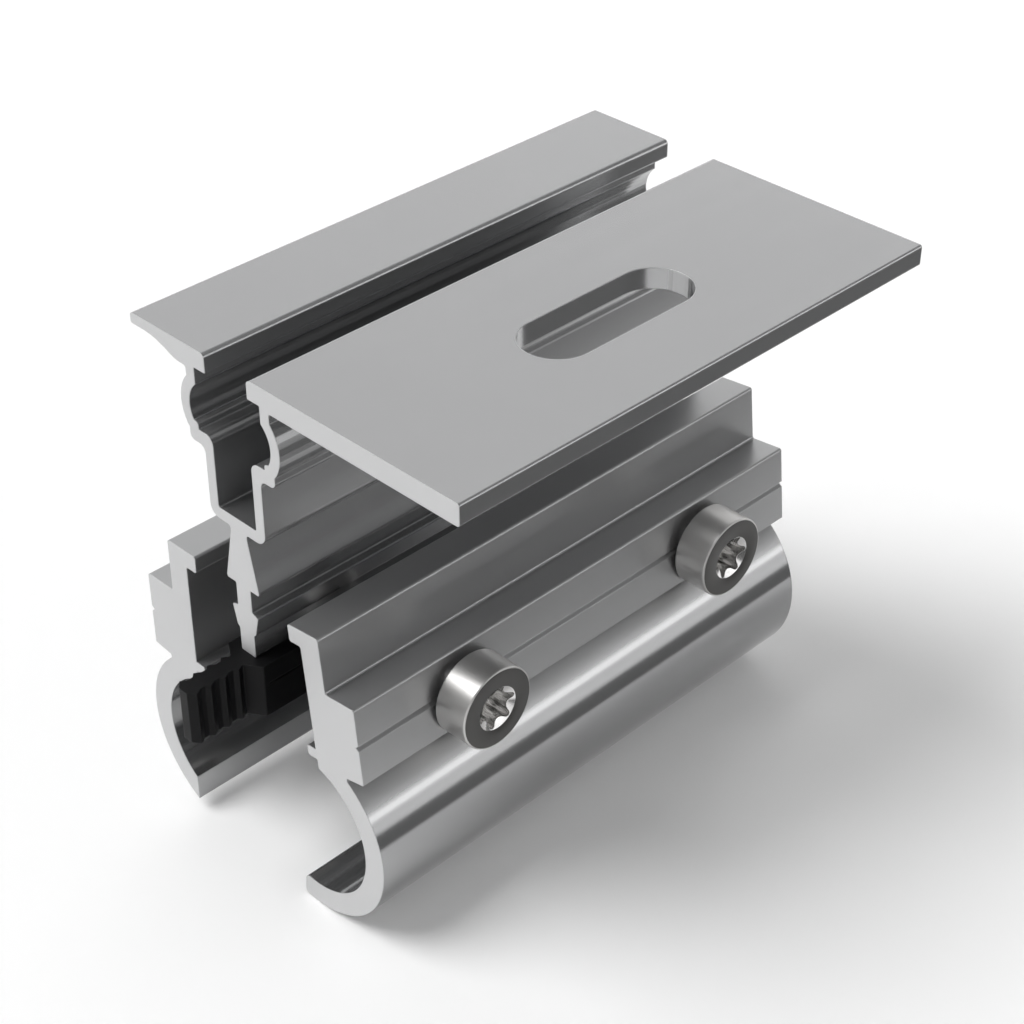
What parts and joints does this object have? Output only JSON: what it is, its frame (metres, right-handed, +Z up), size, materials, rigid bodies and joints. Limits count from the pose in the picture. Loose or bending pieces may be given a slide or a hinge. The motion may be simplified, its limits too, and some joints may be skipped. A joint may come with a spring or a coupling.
{
  "type": "standing seam roof clamp",
  "caption": "Aluminium clamp whose screwed jaws close on the round bead of a standing seam, with a T-slot carrier and slotted plate on top for solar rails.",
  "frame": {"origin": "centre of the seam's round bead, at half the clamp's length, in the centre plane of the stem", "axes": "X across the seam towards the slotted plate and the screw heads, Y along the seam, Z up from the roof"},
  "size_m": [0.068, 0.1017, 0.0869],
  "materials": {
    "carrier_aluminium": "mill finish, drawn along the seam, sawn ends",
    "jaw_aluminium": "mill finish, drawn along the seam, sawn ends",
    "black_plastic": "moulded, matt",
    "screw_steel": "polished side, darker flat face"
  },
  "bodies": {
    "carrier": {"carrier_profile": "carrier_aluminium", "spacer": "black_plastic"},
    "rear_jaw": {"rear_jaw": "jaw_aluminium"},
    "front_jaw": {"front_jaw": "jaw_aluminium"},
    "screw_near": {"screw_near": "screw_steel"},
    "screw_far": {"screw_far": "screw_steel"}
  },
  "joints": [
    {"name": "rear_jaw_slide", "type": "slide", "parent": "carrier", "child": "rear_jaw", "axis": [1, 0, 0], "range_m": [0, 0.009]},
    {"name": "front_jaw_slide", "type": "slide", "parent": "carrier", "child": "front_jaw", "axis": [-1, 0, 0], "range_m": [0, 0.0063]},
    {"name": "screw_near_turn", "type": "hinge", "parent": "front_jaw", "child": "screw_near", "pos_m": [0.0235, -0.025, 0.0193], "axis": [-1, 0, 0], "range_deg": [0, 4392]},
    {"name": "screw_far_turn", "type": "hinge", "parent": "front_jaw", "child": "screw_far", "pos_m": [0.0235, 0.025, 0.0193], "axis": [-1, 0, 0], "range_deg": [0, 4392]}
  ],
  "couplings": [
    {"joint": "front_jaw_slide", "follows": "rear_jaw_slide", "ratio": 0.7},
    {"joint": "screw_near_turn", "follows": "rear_jaw_slide", "rad_per_m": 8517.2},
    {"joint": "screw_far_turn", "follows": "rear_jaw_slide", "rad_per_m": 8517.2}
  ]
}
